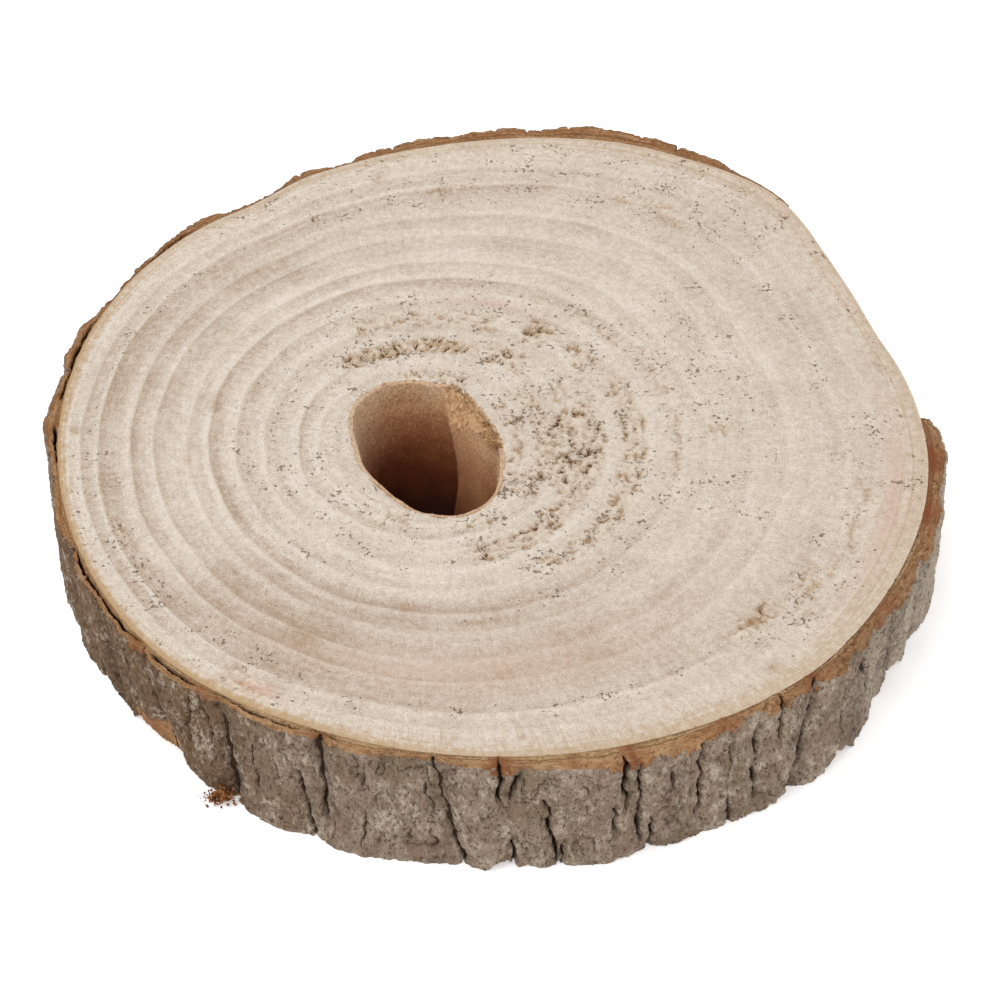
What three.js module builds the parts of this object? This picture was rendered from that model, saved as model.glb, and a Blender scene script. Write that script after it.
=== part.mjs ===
// A slice sawn straight across a young, light trunk with a hollow pith: two flat sawn faces, a band of
// furrowed bark most of the way round, one flattened side where the bark has come off, and the hollow
// running right through. It grew as one piece, so it is one solid.
// Millimetres, +Z up. The origin is the middle of the base, on the surface that the slice lies on.

import * as THREE from 'three';
import { mergeVertices } from 'three/addons/utils/BufferGeometryUtils.js';

// ---- driving dimensions ----
const THICKNESS = 18; // from one saw cut to the other
const SIDES = 240; // facets round the trunk
const BARK_ROWS = 6; // facets from the base to the face, outside
const HOLLOW_ROWS = 5; // the same, inside the hollow
const CURVE_STEPS = 12; // straight steps that each span of an outline's curve is cut into
const HOLLOW_CENTRE = [-8.8, -7]; // a point that every outline of the hollow goes round

// ---- the trunk's outline at the face, anticlockwise from its right side ----
const FACE_OUTLINE = [
  // the flattened side, where the bare wood shows
  [56.4, 0], [54.5, 8], [52, 15], [49.3, 24], [45.7, 34], [42.4, 42.8],
  // thin remains of bark, then full bark along the far side
  [40, 46.2], [36, 50.4], [32, 54.9], [27, 57.4], [21, 60.3], [15, 62.2], [9, 61.9], [3, 61.6],
  [-4, 60.8], [-10, 59.3], [-17, 56.7], [-25, 52.4], [-28.8, 50.8],
  // a stretch on the far left where the outer bark has broken away
  [-30.6, 48.2], [-34, 45.2], [-37.6, 42], [-40.5, 41.4],
  // the left side
  [-44, 38.2], [-49, 31.8], [-53.4, 23.6], [-56.6, 17.6], [-58.7, 8], [-59.4, 0], [-58.9, -6],
  [-57.3, -14], [-55.5, -22], [-52, -30.5], [-47, -38.5], [-41, -45.6],
  // the near side
  [-33, -51.6], [-25, -55.9], [-16, -59.1], [-8, -60.2], [0, -61.8], [8, -61.3], [16, -60.8], [23, -57.9],
  // the right side, up to the step where the bark starts
  [31, -53.2], [38, -49.1], [44, -43.2], [50, -34.6], [54.9, -27], [57.4, -19.4], [59.1, -11], [59.3, -6], [57.8, -2],
];

// ---- how far the foot of the bark stands out past its top edge: degrees round the trunk, millimetres ----
const FOOT_FLARE = [
  [0, 0.3], [40, 0.6], [70, 0.2], [100, 0.8], [130, 0.4], [160, 0.9], [185, 0.6], [200, 0], [212, -1], [228, -1.2],
  [240, 0.3], [252, 1.4], [262, 1.4], [275, 0.9], [288, 0], [300, 1.1], [308, 1], [318, 0.6], [332, -0.9], [346, 0.4],
];

// ---- the deepest furrows in the bark: degrees at the face and at the base, width and depth in millimetres ----
const FURROWS = [
  { face: 205.5, base: 203, width: 1.8, depth: 0.7 },
  { face: 214, base: 217, width: 2, depth: 0.7 },
  { face: 224.5, base: 228, width: 1.8, depth: 0.5 },
  { face: 236.8, base: 238.5, width: 2, depth: 0.9 },
  { face: 249.8, base: 249.2, width: 1.8, depth: 0.9 },
  { face: 263.2, base: 266.8, width: 1.7, depth: 0.7 },
  { face: 271, base: 272.5, width: 1.6, depth: 0.6 },
  { face: 285, base: 287, width: 1.8, depth: 0.7 },
  { face: 297, base: 293.5, width: 1.8, depth: 0.6 },
  { face: 310, base: 306.5, width: 1.8, depth: 0.8 },
  { face: 321, base: 324, width: 2.2, depth: 0.9 },
  { face: 333, base: 335, width: 1.8, depth: 0.7 },
  { face: 347, base: 345, width: 1.8, depth: 0.6 },
  { face: 60, base: 62, width: 1.8, depth: 0.7 },
  { face: 83, base: 81, width: 1.8, depth: 0.7 },
  { face: 97, base: 99, width: 1.7, depth: 0.6 },
  { face: 112, base: 110, width: 2, depth: 0.8 },
  { face: 146, base: 148, width: 1.8, depth: 0.7 },
  { face: 160, base: 158, width: 1.8, depth: 0.8 },
  { face: 175, base: 177, width: 2, depth: 0.7 },
  { face: 190, base: 189, width: 1.8, depth: 0.7 },
];

// ---- the hollow pith's outline at four heights, anticlockwise from its right side ----
// It has two lobes with a sharp ridge between them at the back, and its back wall leans forward as it goes down.
const HOLLOW_LEVELS = [
  {
    height: THICKNESS,
    outline: [
      [0.8, -9.4], [0.6, -6.6], [-0.3, -3.6], [-1.8, -0.6], [-3.6, 2.4], [-5.8, 4.8], [-7.8, 4.8], [-10, 5.4],
      [-12.6, 5.5], [-15, 4.7], [-17, 2.8], [-18.3, 0.4], [-18.5, -3], [-17.7, -7], [-16.8, -10.4], [-14.2, -14.2],
      [-12, -16.6], [-9.6, -18.5], [-7, -19.2], [-4, -19.1], [-1.8, -17.8], [0, -15.4], [0.7, -12.6],
    ],
  },
  {
    height: 14,
    outline: [
      [0.3, -9.4], [-0.1, -6.4], [-1.2, -3.4], [-3, -0.2], [-4.6, 1.6], [-6.2, 2.3], [-7.3, 3.6], [-9.4, 4.7],
      [-12.4, 4.9], [-14.6, 4], [-16.3, 2.2], [-17.6, 0], [-17.8, -3], [-17.2, -6.8], [-16.2, -10.2], [-13.8, -13.8],
      [-11.7, -16], [-9.4, -17.9], [-7, -18.6], [-4.1, -18.5], [-2.1, -17.3], [-0.4, -15.1], [0.2, -12.5],
    ],
  },
  {
    height: 7,
    outline: [
      [0.2, -9.4], [-0.3, -6.4], [-1.4, -3.6], [-3.1, -1], [-4.6, 0.5], [-5.9, 1], [-7.1, 2], [-9.2, 2.9],
      [-12, 3], [-14.2, 2], [-15.8, 0.4], [-16.8, -1.6], [-17.1, -4], [-16.7, -7.2], [-15.7, -10.2], [-13.4, -13.8],
      [-11.4, -16], [-9.2, -17.8], [-7, -18.5], [-4.1, -18.4], [-2.1, -17.2], [-0.5, -15], [0.1, -12.5],
    ],
  },
  {
    height: 0,
    outline: [
      [0.1, -9.6], [-0.5, -7], [-1.6, -4.8], [-3.1, -2.9], [-4.3, -1.7], [-5.4, -1.3], [-6.9, -0.9], [-9, -0.5],
      [-11.6, -0.5], [-13.6, -1.2], [-15.1, -2.4], [-16, -3.6], [-16.3, -5.6], [-16, -8], [-15, -10.8], [-13, -14],
      [-11.2, -16.1], [-9.1, -17.8], [-7, -18.4], [-4.1, -18.3], [-2.2, -17.1], [-0.6, -15], [0, -12.5],
    ],
  },
];

const WOOD_COLOUR = 0xdccfbe;
const WOOD_ROUGHNESS = 0.9;
const FULL_TURN = 2 * Math.PI;

// An outline as a function: the distance from a centre inside it to its smooth curve, at an angle.
function outlineRadius(outline, centre) {
  const corners = outline.map(([x, y]) => new THREE.Vector3(x - centre[0], y - centre[1], 0));
  const curve = new THREE.CatmullRomCurve3(corners, true, 'centripetal');
  const ring = curve
    .getPoints(outline.length * CURVE_STEPS)
    .map((point) => ({ angle: wrap(Math.atan2(point.y, point.x)), radius: Math.hypot(point.x, point.y) }))
    .sort((a, b) => a.angle - b.angle);
  return (angle) => {
    const at = wrap(angle);
    const next = ring.findIndex((point) => point.angle > at);
    const after = next < 0 ? { ...ring[0], angle: ring[0].angle + FULL_TURN } : ring[next];
    const last = ring.at(-1);
    const before = next === 0 ? { ...last, angle: last.angle - FULL_TURN } : ring.at(next - 1);
    const share = (at - before.angle) / Math.max(after.angle - before.angle, 1e-9);
    return THREE.MathUtils.lerp(before.radius, after.radius, share);
  };
}

function wrap(angle) {
  return THREE.MathUtils.euclideanModulo(angle, FULL_TURN);
}

// The shorter way round from one angle to another, in radians.
function turnBetween(from, to) {
  return wrap(to - from + Math.PI) - Math.PI;
}

const faceRadius = outlineRadius(FACE_OUTLINE, [0, 0]);
const hollowRadii = HOLLOW_LEVELS.map((level) => outlineRadius(level.outline, HOLLOW_CENTRE));

// How far the bark stands out past the face's outline at a height: all of the flare at the base, none at the face.
function flare(angle, height) {
  const degrees = THREE.MathUtils.radToDeg(wrap(angle));
  const stops = [...FOOT_FLARE, [360, FOOT_FLARE[0][1]]];
  const next = stops.findIndex(([at]) => at > degrees);
  const [from, low] = stops[next - 1];
  const [to, high] = stops[next];
  const share = THREE.MathUtils.smoothstep(degrees, from, to);
  return THREE.MathUtils.lerp(low, high, share) * (1 - height / THICKNESS);
}

// How deep the bark's furrows are at an angle and a height.
function furrowDepth(angle, height, radius) {
  return FURROWS.reduce((deepest, furrow) => {
    const degrees = THREE.MathUtils.lerp(furrow.base, furrow.face, height / THICKNESS);
    const across = (turnBetween(THREE.MathUtils.degToRad(degrees), angle) * radius) / furrow.width;
    return Math.max(deepest, furrow.depth * Math.exp(-across * across));
  }, 0);
}

function barkPoint(angle, height) {
  const edge = faceRadius(angle);
  const radius = edge + flare(angle, height) - furrowDepth(angle, height, edge);
  return new THREE.Vector3(radius * Math.cos(angle), radius * Math.sin(angle), height);
}

function hollowPoint(angle, height) {
  const below = HOLLOW_LEVELS.findIndex((level) => level.height <= height);
  const above = Math.max(below - 1, 0);
  const gap = HOLLOW_LEVELS[above].height - HOLLOW_LEVELS[below].height;
  const share = gap > 0 ? (height - HOLLOW_LEVELS[below].height) / gap : 0;
  const radius = THREE.MathUtils.lerp(hollowRadii[below](angle), hollowRadii[above](angle), share);
  return new THREE.Vector3(
    HOLLOW_CENTRE[0] + radius * Math.cos(angle),
    HOLLOW_CENTRE[1] + radius * Math.sin(angle),
    height,
  );
}

// The section of the slice: up the bark, across the face, down the hollow and back across the base.
// It is turned all the way round, and every point of it is then moved to where the bark or the hollow really is.
function sliceGeometry() {
  const section = [];
  for (let row = 0; row <= BARK_ROWS; row += 1) {
    section.push({ place: barkPoint, height: (THICKNESS * row) / BARK_ROWS });
  }
  for (let row = HOLLOW_ROWS; row >= 0; row -= 1) {
    section.push({ place: hollowPoint, height: (THICKNESS * row) / HOLLOW_ROWS });
  }
  section.push(section[0]);

  const outer = faceRadius(0);
  const inner = hollowRadii[0](0);
  const profile = section.map(({ place, height }) => new THREE.Vector2(place === barkPoint ? outer : inner, height));
  const geometry = new THREE.LatheGeometry(profile, SIDES);
  geometry.deleteAttribute('normal');
  geometry.deleteAttribute('uv');

  const position = geometry.getAttribute('position');
  for (let vertex = 0; vertex < position.count; vertex += 1) {
    const { place, height } = section[vertex % section.length];
    const side = Math.floor(vertex / section.length) % SIDES;
    const point = place((FULL_TURN * side) / SIDES, height);
    position.setXYZ(vertex, point.x, point.y, point.z);
  }

  geometry.computeBoundingBox();
  const middle = geometry.boundingBox.getCenter(new THREE.Vector3());
  geometry.translate(-middle.x, -middle.y, 0);
  const merged = mergeVertices(geometry, 1e-4);
  merged.computeVertexNormals();
  return merged;
}

const woodSlice = new THREE.Mesh(
  sliceGeometry(),
  new THREE.MeshStandardMaterial({ color: WOOD_COLOUR, roughness: WOOD_ROUGHNESS, metalness: 0 }),
);
woodSlice.name = 'wood_slice';

const part = new THREE.Group();
part.add(woodSlice);

export default part;
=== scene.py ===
# %% [markdown]
# # A slice of a young tree
# A slice like this is sawn straight across a light, fast-grown trunk. It shows three things at once: the sawn face
# with its growth rings and the grain that the saw tore, the hollow where the soft pith was, and a band of bark.
# The CAD frame already holds its true outline, its thickness and its hollow. This lesson reads those shapes from
# the frame and grows the fine surface on them, so that nothing has to be fitted afterwards.

import math

import bmesh
import bpy
import numpy as np
from mathutils import Matrix, Vector


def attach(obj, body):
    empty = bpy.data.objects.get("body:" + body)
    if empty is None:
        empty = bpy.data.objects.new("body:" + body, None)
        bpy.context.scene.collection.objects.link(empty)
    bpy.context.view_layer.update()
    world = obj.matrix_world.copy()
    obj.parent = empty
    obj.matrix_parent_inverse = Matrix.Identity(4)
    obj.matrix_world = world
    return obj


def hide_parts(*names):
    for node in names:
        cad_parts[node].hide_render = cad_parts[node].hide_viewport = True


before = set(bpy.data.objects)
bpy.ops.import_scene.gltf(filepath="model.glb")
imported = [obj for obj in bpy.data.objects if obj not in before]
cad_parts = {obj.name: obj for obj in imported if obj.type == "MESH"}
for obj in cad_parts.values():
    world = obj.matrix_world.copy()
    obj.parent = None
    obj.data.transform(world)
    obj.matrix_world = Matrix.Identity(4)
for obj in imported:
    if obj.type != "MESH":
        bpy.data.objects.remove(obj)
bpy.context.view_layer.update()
MM = 0.001
TURN = 2 * math.pi
solid = np.array([corner.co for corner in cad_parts["wood_slice"].data.vertices]) / MM
THICK = float(solid[:, 2].max())
print(f"frame: {len(solid)} corners, {THICK:.1f} mm thick")

# %% [markdown]
# ## Reading the outlines
# The CAD solid is a stack of outlines: those of the trunk outside and those of the hollow inside. Each is easier to
# use as a function that gives a radius for an angle and a height. Half-degree steps and a light smoothing take the
# flats of the CAD model away.

# %% Outlines as functions
STEPS = 1440
ANGLES = np.arange(STEPS) / STEPS * TURN


def smooth_round(values, degrees):
    """Values round the trunk, evened out over about that many degrees."""
    reach = np.fft.rfftfreq(STEPS, 1 / STEPS)
    return np.fft.irfft(np.fft.rfft(values) * np.exp(-((reach * math.radians(degrees)) ** 2) / 2), STEPS)


def place_round(x, y, centre):
    """The angle and the distance of points from a centre."""
    return np.arctan2(y - centre[1], x - centre[0]), np.hypot(x - centre[0], y - centre[1])


def outline_rows(points, centre, smoothing):
    """The heights of a stack of outlines, and each outline's radius at evenly spaced angles."""
    heights = np.unique(points[:, 2].round(2))
    rows = []
    for height in heights:
        level = points[abs(points[:, 2] - height) < 0.02]
        angle, radius = place_round(level[:, 0], level[:, 1], centre)
        order = np.argsort(angle)
        rows.append(smooth_round(np.interp(ANGLES, angle[order], radius[order], period=TURN), smoothing))
    return heights, np.array(rows)


def radius_at(outline, angle, height):
    """The radius of a stack of outlines at angles and heights."""
    heights, rows = outline
    level = np.interp(height, heights, np.arange(len(heights)))
    low = np.minimum(level.astype(int), len(heights) - 2)
    place = np.asarray(angle) % TURN / TURN * STEPS
    left = place.astype(int) % STEPS
    right = (left + 1) % STEPS
    share = place - np.floor(place)
    under = rows[low, left] * (1 - share) + rows[low, right] * share
    over = rows[low + 1, left] * (1 - share) + rows[low + 1, right] * share
    return under + (over - under) * (level - low)


HOLLOW_REACH = 30
near_middle = np.hypot(solid[:, 0], solid[:, 1]) < HOLLOW_REACH
hollow_points = solid[near_middle]
hollow_centre = (hollow_points[:, :2].min(0) + hollow_points[:, :2].max(0)) / 2
hollow = outline_rows(hollow_points, hollow_centre, 0.5)
trunk = outline_rows(solid[~near_middle], (0, 0), 0.8)
print("hollow centre", hollow_centre.round(2), "rows", len(hollow[0]), "trunk rows", len(trunk[0]))

# %% [markdown]
# ## Where the wood ends and the bark begins
# Under the bark lies a smooth line, the last ring of wood. It is given here as a few points, since the CAD
# solid only knows the outside of the bark. On the flattened side the two lines meet: the bark has come off there.

# %% The edge of the wood
WOOD_EDGE = np.array([
    (56.1, 0), (54.6, 8), (52.1, 15), (49.4, 24), (45.8, 34), (43.6, 40), (40.1, 46), (34.9, 50.2), (29.9, 52.8),
    (19.8, 57.3), (9.9, 58.7), (0, 58.3), (-9.9, 56.4), (-19.7, 53.1), (-27.7, 49.1), (-33.8, 44.8), (-40, 39.1), (-46, 33.1),
    (-51.4, 25.1), (-54.4, 17.1), (-56.2, 9.1), (-57, 0), (-56.6, -8), (-55.1, -16), (-52.5, -24), (-48.6, -32),
    (-43.1, -40), (-36, -46.9), (-28, -51.6), (-20, -55), (-10, -57.9), (0, -58.9), (10, -58.3), (20, -55.9),
    (30, -51.6), (40, -44.4), (46, -36.9), (51, -28.4), (54.7, -19), (56.5, -8),
])
LEAST_BARK = ((50, 66, 190, 204), (0, 1.4, 1.4, 0))
edge_angle, edge_radius = place_round(WOOD_EDGE[:, 0], WOOD_EDGE[:, 1], (0, 0))
order = np.argsort(edge_angle)
drawn_edge = np.interp(ANGLES, edge_angle[order], edge_radius[order], period=TURN)
least_bark = np.interp(np.degrees(ANGLES), *LEAST_BARK)
wood_face_edge = smooth_round(np.minimum(drawn_edge, trunk[1][-1] - least_bark), 2.5)
lean = np.array([smooth_round(row - trunk[1][-1], 5) for row in trunk[1]])
wood = (trunk[0], np.minimum(wood_face_edge + lean, trunk[1] - 0.02))
print(f"bark is {float((trunk[1][-1] - wood_face_edge).max()):.1f} mm thick at most")

# %% [markdown]
# ## Growth rings as a measure
# Each ring is a line of equal age. Near the pith rings are almost round, and further out they take the trunk's own
# shape, so one number says which ring a point lies on: the radius that its ring would have in a perfectly round
# trunk. Every pattern on the face, torn grain included, is then laid out along the rings by that number.

# %% Which ring a point lies on
PITH = (-8.9, -5.9)
TRUNK_RADIUS = 58.0
RING_DRIFT = np.array([
    (-180, -0.2), (-150, -0.4), (-120, 0.0), (-105, 0.9), (-84, 2.0), (-60, 2.2), (-30, 2.3), (0, 2.4), (30, 2.4),
    (60, 2.6), (90, 2.8), (120, 2.5), (150, 1.1),
])


def rim_from_pith():
    """The distance from the pith to the edge of the wood, at evenly spaced headings."""
    x = wood_face_edge * np.cos(ANGLES)
    y = wood_face_edge * np.sin(ANGLES)
    heading, distance = place_round(x, y, PITH)
    order = np.argsort(heading)
    return np.interp(ANGLES, heading[order], distance[order], period=TURN)


RIM = rim_from_pith()
DRIFT = smooth_round(np.interp(ANGLES, np.radians(RING_DRIFT[:, 0]), RING_DRIFT[:, 1], period=TURN), 12)


def growth_at(x, y):
    """The heading from the pith, and the place between pith and rim as a radius in a round trunk."""
    heading, distance = place_round(x, y, PITH)
    stretch = np.interp(heading, ANGLES, RIM, period=TURN) / TRUNK_RADIUS - 1
    growth = distance.copy()
    for _ in range(8):
        growth = distance / (1 + np.clip(growth / TRUNK_RADIUS, 0, 1.1) ** 2 * stretch)
    return heading, growth


def ring_at(heading, growth):
    """Which ring that is: rings lie a little further out on some sides than on others."""
    drift = np.interp(heading, ANGLES, DRIFT, period=TURN)
    return growth - drift * np.sin(np.clip(growth / TRUNK_RADIUS, 0, 1) ** 1.3 * math.pi) ** 1.5


# %% [markdown]
# ## Random but the same each time
# Wood is never regular. Perlin noise gives lumps of any size: every corner of an invisible grid gets a random slope,
# and the slopes are blended between the corners. The slopes come from a seeded generator, so each run gives the same
# slice. Stretching the points first turns round lumps into fibres or streaks.

# %% Noise and soft masks
GRID = 256
grid_chance = np.random.default_rng(11)
SHUFFLE = grid_chance.permutation(GRID)
SLOPES = grid_chance.normal(size=(GRID, 3))
SLOPES /= np.linalg.norm(SLOPES, axis=1, keepdims=True)
LUMP_GAIN = 1.7


def lumps(points, size, seed):
    """Perlin noise of about -1 to 1 at points in millimetres, in lumps of a size that may differ by axis."""
    places = points / np.asarray(size) + seed * 7.31
    cell = np.floor(places).astype(int)
    part = places - cell
    fade = part**3 * (part * (part * 6 - 15) + 10)
    total = np.zeros(len(points))
    for corner in ((i, j, k) for i in (0, 1) for j in (0, 1) for k in (0, 1)):
        at = (cell + corner) % GRID
        row = SHUFFLE[(SHUFFLE[at[:, 0]] + at[:, 1]) % GRID]
        slope = SLOPES[SHUFFLE[(row + at[:, 2]) % GRID]]
        weight = np.where(corner, fade, 1 - fade).prod(1)
        total += weight * ((part - corner) * slope).sum(1)
    return total * LUMP_GAIN


def rough(points, size, seed, layers=3):
    """Several layers of noise, each half the size and half the strength of the one before."""
    total = np.zeros(len(points))
    for layer in range(layers):
        total += lumps(points, np.asarray(size) / 2**layer, seed + layer) / 2**layer
    return total


def soft_step(low, high, values):
    """0 below low, 1 above high and a smooth rise between them."""
    share = np.clip((values - low) / (high - low), 0, 1)
    return share * share * (3 - 2 * share)


def window(values, low, high, softness):
    """1 between low and high, with soft ends."""
    return soft_step(low - softness, low + softness, values) * (1 - soft_step(high - softness, high + softness, values))


def heading_window(heading, low, high, softness):
    """The same for headings in degrees, the short way round."""
    middle = math.radians((low + high) / 2)
    away = np.degrees(abs((heading - middle + math.pi) % TURN - math.pi))
    half = (high - low) / 2
    return 1 - soft_step(half - softness, half + softness, away)


# %% [markdown]
# ## A straight bar, then the real shape
# Both the wood and the bark are rings with a closed section. The quickest way to a clean ring is to draw the section
# once, draw it out into a straight bar and cut that into even slices. Then the bar is bent round: how far along the
# bar a point lies gives its heading, and its place in the section says how far out and how high it belongs.

# %% Draw a section out into a bar
def bar(section, slices, closed):
    """A bmesh of a closed section of (across, up) points, one unit long and cut into slices. A closed bar's ends
    are joined, as they will be in a ring, and an open one's are capped."""
    band = bmesh.new()
    corners = [band.verts.new((0, across, up)) for across, up in section]
    edges = [band.edges.new((corners[i - 1], corners[i])) for i in range(len(corners))]
    drawn = bmesh.ops.extrude_edge_only(band, edges=edges)["geom"]
    far = [corner for corner in drawn if isinstance(corner, bmesh.types.BMVert)]
    bmesh.ops.translate(band, verts=far, vec=(1, 0, 0))
    for cuts in slices:
        long = [edge for edge in band.edges if abs(edge.verts[0].co.x - edge.verts[1].co.x) > 1e-6]
        bmesh.ops.subdivide_edges(band, edges=long, cuts=cuts - 1, use_grid_fill=True)
    if closed:
        near = {tuple(corner.co.yz): corner for corner in band.verts if corner.co.x < 1e-6}
        meet = {corner: near[tuple(corner.co.yz)] for corner in band.verts if corner.co.x > 1 - 1e-6}
        bmesh.ops.weld_verts(band, targetmap=meet)
    else:
        bmesh.ops.holes_fill(band, edges=[edge for edge in band.edges if edge.is_boundary], sides=0)
    return band


def run(start, end, count, power=1.0):
    """Numbers from start to end without the end itself, closer together near the start if power is above 1."""
    return [start + (end - start) * (i / count) ** power for i in range(count)]


def read_points(band):
    return np.array([corner.co for corner in band.verts])


def move_points(band, points):
    for corner, point in zip(band.verts, points.tolist()):
        corner.co = point


# %% [markdown]
# ## The body of wood
# The section runs across the face from the hollow to the rim, down the rim, back under the base and up the hollow.
# Rows are closest near the hollow, where the saw tore the grain most.

# %% Shape the wood
WOOD_SLICES = (24, 20)
FACE_ROWS = 74
RIM_ROWS = 12
BASE_ROWS = 16
INNER_ROWS = 6
FACE_LEVEL = THICK - 0.3
LINING_LAP = 0.34

wood_section = (
    [(across, 1) for across in run(0, 1, FACE_ROWS, 1.15)]
    + [(1, up) for up in run(1, 0, RIM_ROWS)]
    + [(across, 0) for across in run(1, 0, BASE_ROWS)]
    + [(0, up) for up in run(0, 1, INNER_ROWS)]
)
wood_band = bar(wood_section, WOOD_SLICES, True)


def wood_shape(blank):
    """Where the points of the straight bar belong on the slice."""
    angle = blank[:, 0] * TURN
    across = blank[:, 1]
    height = blank[:, 2] * THICK
    inner = radius_at(hollow, angle, height) + LINING_LAP
    outer = radius_at(wood, angle, height)
    inner_x = hollow_centre[0] + inner * np.cos(angle)
    inner_y = hollow_centre[1] + inner * np.sin(angle)
    x = inner_x + (outer * np.cos(angle) - inner_x) * across
    y = inner_y + (outer * np.sin(angle) - inner_y) * across
    return np.stack([x, y, blank[:, 2] * FACE_LEVEL], 1)


move_points(wood_band, wood_shape(read_points(wood_band)))
print(f"wood blank: {len(wood_band.verts)} points, {len(wood_band.faces)} faces")

# %% [markdown]
# ## Torn grain
# A blunt saw lifts the soft spring wood instead of cutting it. It comes out in flakes that follow the rings, worst on
# the side of the hollow where the teeth left the cut. Each patch here is a stretch of ring: from one growth radius to
# another, from one heading to another, and how strong the tearing is. Weaker marks are only specks and stains.

# %% Where the grain is torn, specked and stained
TORN_PATCHES = [
    # growth from, to, heading from, to, strength
    (17.6, 20.2, 70, 128, 0.8), (17.4, 21.2, 47, 66, 0.6), (16.9, 23.0, -28, 20, 0.75), (14.3, 16.9, -38, 42, 0.62),
    (19.6, 22.9, -74, -30, 0.62), (25.2, 28.4, -56, 27, 0.5), (23.8, 27.0, 33, 47, 0.5), (23.2, 27.4, 51, 60, 0.7),
    (22.8, 26.2, 66, 116, 0.42), (11.4, 14.0, 66, 86, 0.62), (12.4, 14.4, 90, 107, 0.45), (11.0, 13.2, -20, 40, 0.4),
    (12.0, 15.4, -38, -24, 0.7), (15.4, 16.8, -74, -56, 0.5), (18.4, 24.6, 18, 36, 0.35), (47.9, 50.2, -42, -33, 0.62),
    (49.4, 52.2, -32, -23, 0.4), (50.8, 54.4, -23, -6, 0.36), (48.4, 51.2, 46, 66, 0.34), (31.0, 33.0, -12, 36, 0.34),
    (50.8, 55.2, -121, -110, 0.42), (46.0, 49.4, -161, -156, 0.4), (48.8, 50.0, 83, 92, 0.4), (13.2, 16.4, -124, -96, 0.3),
    (35.0, 38.4, 1, 6, 0.35), (51.0, 55.0, -36, -24, 0.25), (29.4, 31.6, 36, 72, 0.28),
]
SPECK_STRETCHES = [
    # growth from, to, heading from, to, how crowded
    (10, 24, -180, 180, 0.10), (12, 18, -60, 60, 0.5), (24, 29, -60, 120, 0.35), (17, 22, -80, 130, 0.3),
    (48.6, 50.6, -180, 180, 0.16), (30, 33, -80, 80, 0.18), (33, 44, -20, 45, 0.1), (49, 55, -40, 5, 0.2), (14.6, 16.8, -40, 42, 0.8),
    (44, 56, -180, -105, 0.13), (54.5, 57.2, 50, 125, 0.22), (46, 56, 40, 110, 0.12), (12, 17, 100, 260, 0.2),
    (46, 52, -165, -130, 0.22), (21, 27, 120, 250, 0.1), (56, 58, -10, 60, 0.12), (49, 50.5, -100, -60, 0.2),
]
STAINS = [
    # growth, heading, reach across the rings, reach along them, strength: brown is above 0 and pink below it
    (30.0, 164, 0.9, 2.6, 0.7), (25.0, 156, 0.7, 2.2, 0.5), (35.5, 146, 1.3, 7.0, 0.4), (33.4, -77, 0.5, 4.0, 0.6),
    (39.5, -113, 1.5, 2.6, 0.6), (34.7, -112, 0.7, 3.4, 0.5), (32.8, -174, 0.6, 3.0, 0.5), (30.5, -94, 1.2, 0.7, 0.5),
    (54.0, 177, 1.3, 0.9, 1.0), (54.0, 98, 1.3, 0.8, 0.6), (55.1, -42.5, 0.6, 1.1, 0.9), (54.4, -76, 0.4, 0.8, 0.5),
    (55.0, -85, 0.3, 0.6, 0.9), (56.0, 14, 0.4, 0.6, 0.8), (54.0, 30, 0.9, 0.5, 0.5), (12.3, -8, 0.6, 1.3, 1.0),
    (18.7, 7, 0.7, 1.0, 0.9), (20.3, -12, 0.6, 1.2, 0.9), (26.2, 56, 1.5, 0.7, 0.8), (49.0, -38, 0.7, 1.4, 1.0),
    (53.2, -115, 1.8, 3.6, -0.9), (50.6, -119, 0.7, 1.0, 0.7), (42.0, -80, 4.0, 26.0, -0.35), (49.2, 88, 0.5, 1.6, 0.7),
    (55.0, -10, 0.9, 16.0, -0.7), (27.8, 72, 0.8, 6.0, -0.5), (43.5, 130, 1.6, 14.0, 0.2), (16.0, -5, 0.7, 1.2, 0.8),
]


def patch_share(patches, heading, growth, points, wander):
    """The strongest of the patches at each point, with ragged edges."""
    ragged = growth + wander * lumps(points, 1.5, 3)
    strongest = np.zeros(len(points))
    for low, high, start, end, strength in patches:
        share = window(ragged, low, high, 0.4)
        if end - start < 360:
            share = share * heading_window(heading, start, end, min(4, (end - start) / 4))
        strongest = np.maximum(strongest, share * strength)
    return strongest


def stain_share(heading, growth, sign):
    strongest = np.zeros(len(growth))
    for middle, degrees, across, along, strength in STAINS:
        if strength * sign <= 0:
            continue
        turn = (heading - math.radians(degrees) + math.pi) % TURN - math.pi
        away = ((growth - middle) / across) ** 2 + (turn * middle / along) ** 2
        strongest = np.maximum(strongest, abs(strength) * np.exp(-away))
    return strongest


def on_face(points):
    return points[:, 2] > FACE_LEVEL - 1e-3


# %% Make the torn stretches finer
points = read_points(wood_band)
heading, growth = growth_at(points[:, 0], points[:, 1])
torn = patch_share(TORN_PATCHES, heading, growth, points, 0.5) * on_face(points)
wood_band.verts.index_update()
busy = [edge for edge in wood_band.edges if min(torn[edge.verts[0].index], torn[edge.verts[1].index]) > 0.06]
bmesh.ops.subdivide_edges(wood_band, edges=busy, cuts=2, use_grid_fill=True)
print(f"wood: {len(wood_band.verts)} points after {len(busy)} edges were cut")

# %% [markdown]
# ## Carving the face
# Four things shape the surface: the rings stand up and lie down a little, the saw leaves a fine fuzz, flakes are
# lifted or missing where the grain is torn, and the edge of the hollow is worn. Each is a height taken off the face.

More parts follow.
